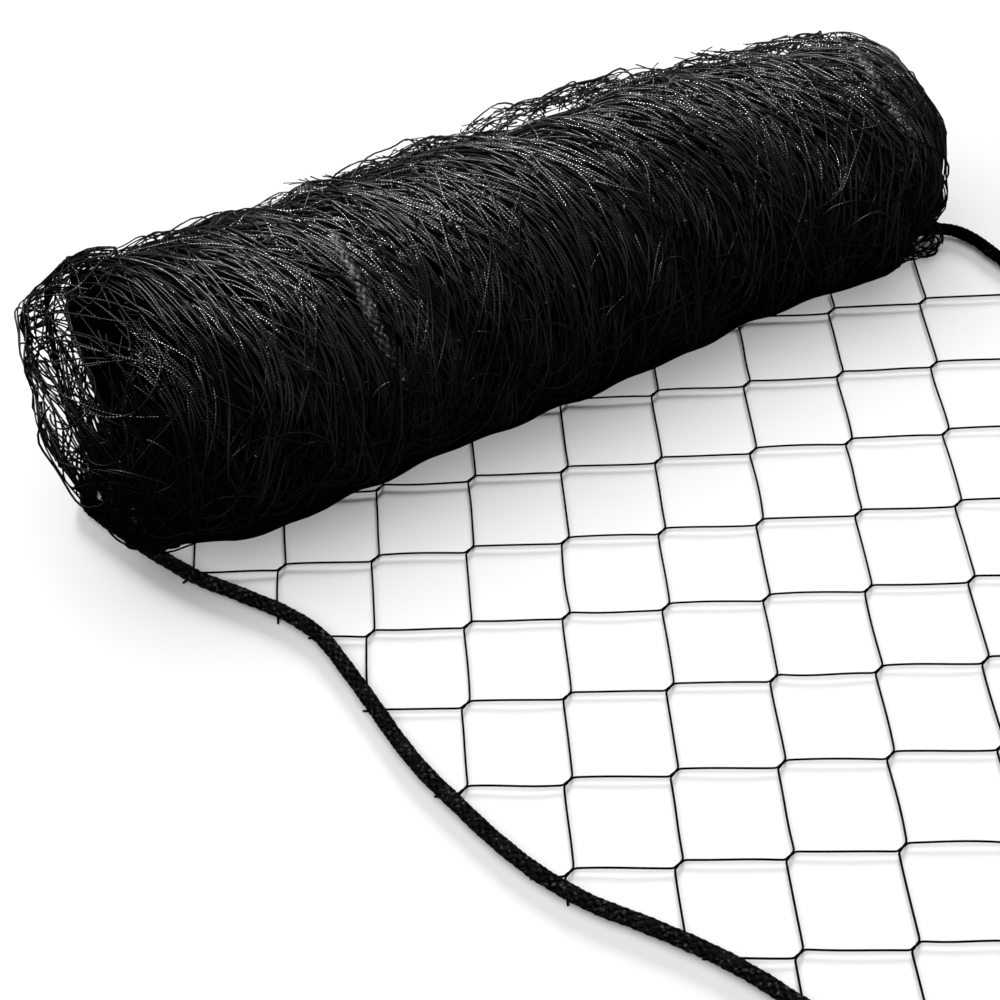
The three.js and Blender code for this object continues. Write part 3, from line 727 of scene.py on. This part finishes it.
# strands wound round the roll, in groups that follow its flow and gather at a knot
def woundStrands(facts):
    rng = np.random.default_rng(facts["seed"])
    groups, each, points = facts["groups"], facts["each"], facts["points"]
    count = groups * each
    shared = lambda key: np.repeat(rng.uniform(*facts[key], groups), each)
    own = lambda low, high: rng.uniform(low, high, count)
    spread = lambda key: own(-facts[key], facts[key])
    column = lambda values: values[:, None]
    even = (rng.uniform(0, 1, 2) + np.arange(groups)[:, None] * facts["evenSteps"]) % 1
    (first, last), (low, high) = facts["along"], facts["turn"]
    along = np.repeat(first + even[:, 0] * (last - first), each)
    turn = np.radians(np.repeat(low + even[:, 1] * (high - low), each) + spread("turnSpread"))
    step = shared("length") * own(*facts["lengths"]) / (points - 1)
    lean = np.radians(shared("lean") + own(-1, 1) * facts["leanSpread"])
    waver = np.radians(own(0, facts["waver"]))
    wavePhase, waveRate = own(0, fullTurn), own(*facts["waveRates"])
    track = []
    for k in range(points):
        track.append((along, turn))
        heading = strandLean(along, turn, facts["phase"]) + lean + waver * np.sin(wavePhase + waveRate * k)
        along = along + step * np.sin(heading)
        turn = turn - step * np.cos(heading) / np.maximum(skinAt(along)[1], leastRadius)
    along, turn = (np.array(t).T for t in zip(*track))
    u = np.linspace(0, 1, points)[None, :]
    tightness, knotAt = shared("gather"), shared("knotAt")
    gather = 1 - column(tightness) * bell(u, column(knotAt), facts["knotReach"])
    along = along + column(own(-0.5, 0.5) * shared("width")) * gather
    lift = column(shared("lift") + spread("liftSpread"))
    lift = lift + column(own(0, facts["ripple"])) * np.sin(7 * u + column(own(0, fullTurn)))
    lift = lift - topValley(along, turn) - lowSink(turn) - facts["dive"] * np.abs(2 * u - 1) ** 8
    paths = onRoll(along, turn, lift)
    knots = []
    for k in range(0, count, each * facts["knotEvery"]):
        bundle = paths[k:k + each].mean(axis=0)
        place = np.clip(int(round(float(knotAt[k]) * (points - 1))), 1, points - 2)
        knots.append(knotCoil(bundle[place], bundle[place + 1] - bundle[place - 1]))
    # painted shade: towards the left hollow a strand's shade value drops, so its colour darkens and its gloss
    # fades
    hollowShadeAt, ease, least = facts["hollowShade"]
    # the shade value sets the strand's colour and gloss: random from strand to strand, and lower on deep rows
    # as painted shade
    shade = own(0, 1) ** facts["shine"] * np.clip((along.mean(axis=1) + hollowShadeAt) / ease, least, 1)
    return paths, shade, own(*twineFacts["thicknesses"]), knots


# loose strands: heading 90 is round the roll, 0 along it; these values hold where a row has none of its own
wanderFacts = {
    "points": 16, "ways": (1, -1), "tip": (0, 0), "wobble": 0.5, "shine": 1, "thin": 1, "keepDrift": 0.7,
}
wanderRows = {
    "strayStrands": dict(
        seed=21, count=12, points=14, along=(-112, 110), turn=(138, 205), heading=(-70, -20), ways=(1,),
        length=(20, 50), curl=(0, 1.6), drift=0.7, lift=(0.0, 0.6), hump=(0, 0.6), wobble=0.4, dive=2.2,
        limits=(-124, 136), thin=0.85, shine=0.6),
    "bellyLoops": dict(
        seed=22, count=190, along=(-132, 126), turn=(60, 98), heading=(20, 160), length=(18, 48),
        curl=(1.5, 9.0), drift=1.6, lift=(-0.9, 0.1), hump=(0, 0.6), dive=1.2, limits=(-140, 136), shine=0.5),
    "backLoops": dict(
        seed=23, count=120, along=(-125, 128), turn=(230, 338), heading=(20, 160), length=(22, 60),
        curl=(1.0, 7.0), drift=1.2, lift=(-0.2, 0.8), hump=(0, 1.6), wobble=0.6, dive=1.2,
        limits=(-135, 136)),
    "topLace": dict(
        seed=24, count=270, points=12, along=(-122, 134), turn=(190, 252), heading=(20, 75), length=(18, 46),
        curl=(0, 1.2), drift=0.6, lift=(-2.2, -0.4), hump=(0, 0.5), dive=1.5, limits=(-126, 138), thin=0.8),
    "frayedEnds": dict(
        seed=25, count=130, points=6, along=(-60, 130), turn=(204, 232), heading=(100, 260), ways=(1,),
        length=(5, 14), curl=(0, 4), drift=0.5, lift=(-1.4, -0.2), hump=(0, 0.3), tip=(0.4, 2.6), wobble=0.2,
        dive=0.0, limits=(-126, 138), thin=0.65),
    # painted shade: the rows round the left hollow take a small shine, so their strands are drawn dark and
    # with little gloss
    "leftLace": dict(
        seed=26, count=290, points=18, along=(-168, -128), turn=(155, 455), heading=(38, 72), length=(30, 70),
        curl=(0, 1.2), drift=0.7, lift=(-2.6, 0.0), hump=(-1.0, 0.5), wobble=0.8, dive=0.6,
        limits=(-176, -112), shine=0.25, thin=0.9),
    "hollowLoops": dict(
        seed=30, count=16, points=18, along=(-148, -118), turn=(50, 165), heading=(0, 180), length=(22, 50),
        curl=(2.0, 7.0), drift=1.5, lift=(0.0, 1.2), hump=(0, 1.5), wobble=0.8, dive=1.0, limits=(-160, -105),
        shine=0.15),
    "leftRimTurns": dict(
        seed=29, count=160, along=(-138, -108), turn=(20, 175), heading=(72, 104), ways=(-1,),
        length=(30, 80), curl=(0, 1.2), drift=0.9, lift=(-4.5, -0.6), hump=(-0.5, 0.5), dive=1.5,
        limits=(-142, -95), shine=0.06),
    "leftRimFront": dict(
        seed=27, count=170, along=(-147, -116), turn=(12, 84), heading=(60, 120), length=(30, 80),
        curl=(0, 2.0), drift=0.8, lift=(-2.5, 0.0), hump=(-0.5, 0.6), dive=1.0, limits=(-157, -105),
        shine=0.1),
    "rightRim": dict(
        seed=28, count=190, along=(116, 158), turn=(0, 360), heading=(45, 90), length=(35, 90),
        curl=(0, 1.0), drift=0.7, lift=(-2.5, 0.4), hump=(-0.5, 0.8), dive=0.8, limits=(105, 163), shine=0.5),
}


# strands that wander over the roll's skin from a start, with a heading, a length and a curl
def wanderStrands(facts):
    rng = np.random.default_rng(facts["seed"])
    count, points = facts["count"], facts["points"]
    pick = lambda key: rng.uniform(*facts[key], count)
    along, turn = pick("along"), np.radians(pick("turn"))
    heading = np.radians(pick("heading")) * rng.choice(facts["ways"], count)
    step = pick("length") / (points - 1)
    curl = np.radians(pick("curl")) * rng.choice((-1, 1), count)
    drift = np.zeros(count)
    track = []
    for k in range(points):
        track.append((along, turn))
        drift = facts["keepDrift"] * drift + np.radians(rng.normal(0, facts["drift"], count))
        heading = heading + step * (curl + drift)
        radius = np.maximum(skinAt(along)[1], leastRadius)
        along = np.clip(along + step * np.cos(heading), *facts["limits"])
        turn = turn + step * np.sin(heading) / radius
    along, turn = (np.array(t).T for t in zip(*track))
    u = np.linspace(0, 1, points)[None, :]
    wobble = rng.uniform(0, facts["wobble"], (count, 1))
    wobble = wobble * np.sin(5 * u + rng.uniform(0, fullTurn, (count, 1)))
    lift = pick("lift")[:, None] + wobble + pick("hump")[:, None] * np.sin(math.pi * u)
    lift = lift + pick("tip")[:, None] * u ** 2 - facts["dive"] * np.abs(2 * u - 1) ** 6 - lowSink(turn)
    # shine scales the shade value that sets colour and gloss; it is small on the rows round the left hollow
    # as painted shade
    shades = facts["shine"] * rng.uniform(0, 1, count)
    thicknesses = facts["thin"] * rng.uniform(*twineFacts["thicknesses"], count)
    return onRoll(along, turn, lift), shades, thicknesses


knots = []
for name, row in windRows.items():
    *strands, coils = woundStrands({**windFacts, **row})
    knots += coils
    makeTwine(name, *strands)
makeTwine("knots", knots, knotFacts["shade"], knotFacts["thickness"])
for name, row in wanderRows.items():
    makeTwine(name, *wanderStrands({**wanderFacts, **row}))


# one strand that lies loose over the right end
looseFacts = {
    "places": ((108.8, 155.4), (112.1, 153.5), (117.9, 155.6), (123.5, 155.4), (127.4, 151.5),
               (134.8, 150.3)),  # mm along, degrees round
    "lift": 0.5, "perSpan": 5, "shade": 0.7, "thickness": 0.9,
}
looseAlong, looseTurn = np.array(looseFacts["places"]).T
loosePath = smoothPath(onRoll(looseAlong, np.radians(looseTurn), looseFacts["lift"]), looseFacts["perSpan"])
makeTwine("looseStrand", [loosePath], looseFacts["shade"], looseFacts["thickness"])
makeTwine("endTurns", *endStrands(endFacts))
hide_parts("net_roll")


# two turns of the border rope are wound in and show between the strands, and dive in at their ends
woundRopes = {
    "woundRopeLeft": {"place": -45.0, "swing": 6.0, "turns": (96, 180), "lift": -2.4},
    "woundRopeRight": {"place": 124.0, "swing": 2.0, "turns": (112, 206), "lift": -2.3},
}
woundRopeFacts = dict(ropeFacts, up=(1, 0, 0), points=30, dive=7)
for name, row in woundRopes.items():
    turn = np.radians(np.linspace(*row["turns"], woundRopeFacts["points"]))
    dive = woundRopeFacts["dive"] * np.abs(np.linspace(-1, 1, woundRopeFacts["points"])) ** 10
    route = onRoll(row["place"] + row["swing"] * np.cos(turn), turn, row["lift"] - dive)
    woundRope = braidedTube(name, route, woundRopeFacts)[0]
    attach(woundRope, "root")
    rollPieces.append(woundRope)
    print(name, len(woundRope.data.polygons), "faces")


# loose meshes of net beside the roll: at the right corner, and where the rope's left end is tucked in
cornerFacts = {
    "points": 14, "sweep": (1.2, 3.4), "sizes": (0.6, 1.0), "lowest": 0.6, "shades": (0, 0.4),
    "thickness": 0.8,
}
cornerRows = {
    "cornerNet": {"seed": 31, "count": 64, "middle": (136.6, -11.0, 7.2), "radii": (12.2, 9.4, 6.6)},
    "tuckedNet": {"seed": 35, "count": 90, "middle": (-138.5, 25.0, 8.2), "radii": (13.0, 10.5, 7.6)},
}


def cornerStrands(facts):
    rng = np.random.default_rng(facts["seed"])
    paths = []
    for k in range(facts["count"]):
        first, second = unit(rng.normal(size=3)), rng.normal(size=3)
        second = unit(second - first * (first @ second))
        angle = np.linspace(0, rng.uniform(*facts["sweep"]), facts["points"])[:, None]
        arc = (np.cos(angle) * first + np.sin(angle) * second) * rng.uniform(*facts["sizes"])
        path = np.array(facts["middle"]) + arc * facts["radii"]
        path[:, 2] = np.maximum(path[:, 2], facts["lowest"])
        paths.append(path)
    return paths, rng.uniform(*facts["shades"], len(paths)), facts["thickness"]


for name, row in cornerRows.items():
    makeTwine(name, *cornerStrands({**cornerFacts, **row}))


# the flat net: strands run on through every join, where two of them twist round each other
netFacts = {
    "pitch": 29.92, "rowTurn": -20.8, "firstKnot": (-67.35, 40.5), "columns": (-4, 9), "rows": (-3, 11),
    "diameter": 0.65, "sides": 8, "shade": 0.05, "spanPoints": 12, "bow": 0.22, "rise": (0.0, 0.3),
    "reach": 1.25, "joinPoints": 7, "joinOffset": 0.32, "joinHeight": 1.2, "joinTurn": 1.2 * math.pi,
    "backEdge": -11.0, "seed": 5,
    "nearRope": 4, "tail": (-1.2, 0.5), "hiddenTail": -0.8, "slant": 0.6,
    "tailStep": (0.7, 0.35), "tailLowest": 0.45, "tailSteps": (3, 24),  # onward and down; fewest and most
}


def insideRope(points):
    x, y = points[:, 0], points[:, 1]
    route = ropeLine[::4, :2]
    inside = np.zeros(len(points), bool)
    for (ax, ay), (bx, by) in zip(route, np.roll(route, -1, axis=0)):
        crosses = (ay > y) != (by > y)
        with np.errstate(divide="ignore", invalid="ignore"):
            inside ^= crosses & (x < (bx - ax) * (y - ay) / (by - ay) + ax)
    return inside & (y < netFacts["backEdge"])


def joinEnds(column, row):  # the two ends of a join: before it along its row, and after
    angle = math.radians(netFacts["rowTurn"])
    ends = []
    for aside in (-netFacts["reach"], netFacts["reach"]):
        x, y = column * netFacts["pitch"] + aside, -(row * netFacts["pitch"] - aside)
        ends.append(np.array([netFacts["firstKnot"][0] + x * math.cos(angle) - y * math.sin(angle),
                              netFacts["firstKnot"][1] + x * math.sin(angle) + y * math.cos(angle)]))
    return ends


def acrossFrom(start, end):
    x, y = end - start
    return unit(np.array([-y, x]))


def leadStrands(facts):
    rng = np.random.default_rng(facts["seed"])
    joinU = np.linspace(0, 1, facts["joinPoints"])[:, None]
    evenAngle = np.linspace(0, math.pi, facts["spanPoints"] + 2)
    spanU = (0.5 - 0.5 * np.cos(evenAngle))[1:-1, None]  # closer near the joins
    swing = facts["joinOffset"] * np.sin(math.pi * joinU) ** 0.5
    paths = []
    for isRow in (True, False):
        lines, stops = (facts["rows"], facts["columns"]) if isRow else (facts["columns"], facts["rows"])
        joinAngle = joinU * facts["joinTurn"] if isRow else (1 - joinU) * facts["joinTurn"] + math.pi
        for line in range(lines[0], lines[1] + 1):
            points = []
            for stop in range(stops[0], stops[1] + 1):
                low, high = joinEnds(stop, line) if isRow else joinEnds(line, stop)
                start, end = (low, high) if isRow else (high, low)
                flat = start + (end - start) * joinU + swing * np.cos(joinAngle) * acrossFrom(low, high)
                points.append(np.hstack([flat, facts["joinHeight"] + swing * np.sin(joinAngle)]))
                onward = joinEnds(stop + 1, line)[0] if isRow else joinEnds(line, stop + 1)[1]
                bow = rng.normal(0, facts["bow"]) * np.sin(math.pi * spanU)
                bow = bow + rng.normal(0, facts["bow"] / 2) * np.sin(2 * math.pi * spanU)
                rise = rng.uniform(*facts["rise"]) * np.sin(math.pi * spanU)
                flat = end + (onward - end) * spanU + bow * acrossFrom(end, onward)
                points.append(np.hstack([flat, facts["joinHeight"] + rise]))
            points = np.vstack(points)
            for k in range(2):  # the twine is stiff, its bends are round
                points[1:-1] = (points[:-2] + 2 * points[1:-1] + points[2:]) / 4
            keep = insideRope(points).astype(int)
            edges = np.flatnonzero(np.diff(np.concatenate([[0], keep, [0]])))
            for a, b in zip(edges[::2], edges[1::2]):
                if b - a > 2:
                    path = underRope(points[a:b], rng.uniform(*facts["tail"]))
                    paths.append(underRope(path[::-1], rng.uniform(*facts["tail"])))
    return paths


def underRope(path, tail):  # a strand that ends at the rope goes under it, and a cut tail shows beyond
    apart = lambda point: np.linalg.norm(ropeLine[:, :2] - point[:2], axis=1).min()
    if apart(path[-1]) > netFacts["nearRope"]:
        return path
    way = (path[-1] - path[-3])[:2]
    length = np.linalg.norm(way)
    straightOn = (apart(path[-3]) - apart(path[-1])) / length > netFacts["slant"]
    reach = ropeFacts["diameter"] / 2 + (tail if straightOn else netFacts["hiddenTail"])
    onward, down = netFacts["tailStep"]
    fewest, most = netFacts["tailSteps"]
    steps, point = [], path[-1].copy()
    for k in range(most):
        height = max(netFacts["tailLowest"], point[2] - down)
        point = np.array([*(point[:2] + onward * (way / length)), height])
        steps.append(point)
        if k > fewest and apart(point) > reach:
            break
    return np.vstack([path, steps])


leadPaths = leadStrands(netFacts)
netLead = makeTwine("netLead", leadPaths, netFacts["shade"], 1.0, netFacts)
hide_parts("net_lead")
rollPieces.remove(netLead)


# floor and light: broad soft light for the floor and the flat net, and lamps of its own for the roll
stageFacts = {
    "floorSize": 30.0, "floorColour": "#f7f7f7", "floorRoughness": 0.9, "floorGloss": 0.1,
    "suns": {  # where it stands, spread in degrees, strength
        "overhead": ((-0.2, -0.02, 1.0), 90, 2.6),
        "behind": ((0.55, 0.95, 0.52), 18, 2.35),
    },
    "lamps": {  # where it stands, size, power
        "glint": ((-0.25, 0.5, 1.25), 0.25, 100.0),  # small and hard, for the beads of light along the twine
        "rollFill": ((0.0, -0.9, 1.6), 2.0, 72.0),
    },
    "worldColour": "#ffffff", "worldStrength": 0.03,
}


def namedSet(name, pieces):
    collection = bpy.data.collections.new(name)
    for piece in pieces:
        collection.objects.link(piece)
    return collection


def makeFloor(facts):
    material, add = newMaterial("paleStudioFloor")
    shader = add("ShaderNodeBsdfPrincipled", {
        "Base Color": linearColour(facts["floorColour"]), "Roughness": facts["floorRoughness"],
        "Specular IOR Level": facts["floorGloss"]})
    add("ShaderNodeOutputMaterial", {"Surface": shader[0]})
    half = facts["floorSize"] / 2
    corners = [(-half, -half, 0), (half, -half, 0), (half, half, 0), (-half, half, 0)]
    mesh = bpy.data.meshes.new("floor")
    mesh.from_pydata(corners, [], [(0, 1, 2, 3)])
    mesh.materials.append(material)
    floor = linkMesh("floor", mesh)
    floor.visible_glossy = False  # as with black flags round the set: only the small lamp shows in the twine
    return floor


def makeStage(facts):
    floor = makeFloor(facts)
    roll = namedSet("litByLamps", rollPieces)
    flat = namedSet("litBySuns", [floor, netLead, borderRope, ropeFuzz])
    flatShadow = namedSet("flatShadow", [netLead, borderRope])
    for name, (place, spread, power) in {**facts["suns"], **facts["lamps"]}.items():
        isSun = name in facts["suns"]
        light = bpy.data.lights.new(name, "SUN" if isSun else "AREA")
        light.energy = power
        if isSun:
            light.angle = math.radians(spread)
        else:
            light.size = spread
        lamp = bpy.data.objects.new(name, light)
        lamp.location = place
        lamp.rotation_euler = (-lamp.location).to_track_quat("-Z", "Y").to_euler()
        lamp.visible_glossy = name == "glint"
        lamp.light_linking.receiver_collection = flat if isSun else roll
        if name == "behind":  # only the flat net throws a shadow by it, so the roll's own shadow stays short
            lamp.light_linking.blocker_collection = flatShadow
        bpy.context.collection.objects.link(lamp)
    world = bpy.data.worlds.new("studio")
    bpy.context.scene.world = world
    world.use_nodes = True
    add = partial(addNode, world.node_tree)
    background = world.node_tree.nodes["Background"]
    background.inputs["Color"].default_value = linearColour(facts["worldColour"])
    seen = add("ShaderNodeLightPath")  # the paper behind is white, but lights the set little
    strength = add("ShaderNodeMath", {
        0: seen["Is Camera Ray"], 1: facts["worldStrength"]}, {"operation": "MAXIMUM"})
    world.node_tree.links.new(strength[0], background.inputs["Strength"])
    world.cycles_visibility.glossy = False
    bpy.context.scene.view_settings.view_transform = "Standard"  # white paper stays white, black twine black


makeStage(stageFacts)
print("stage set")
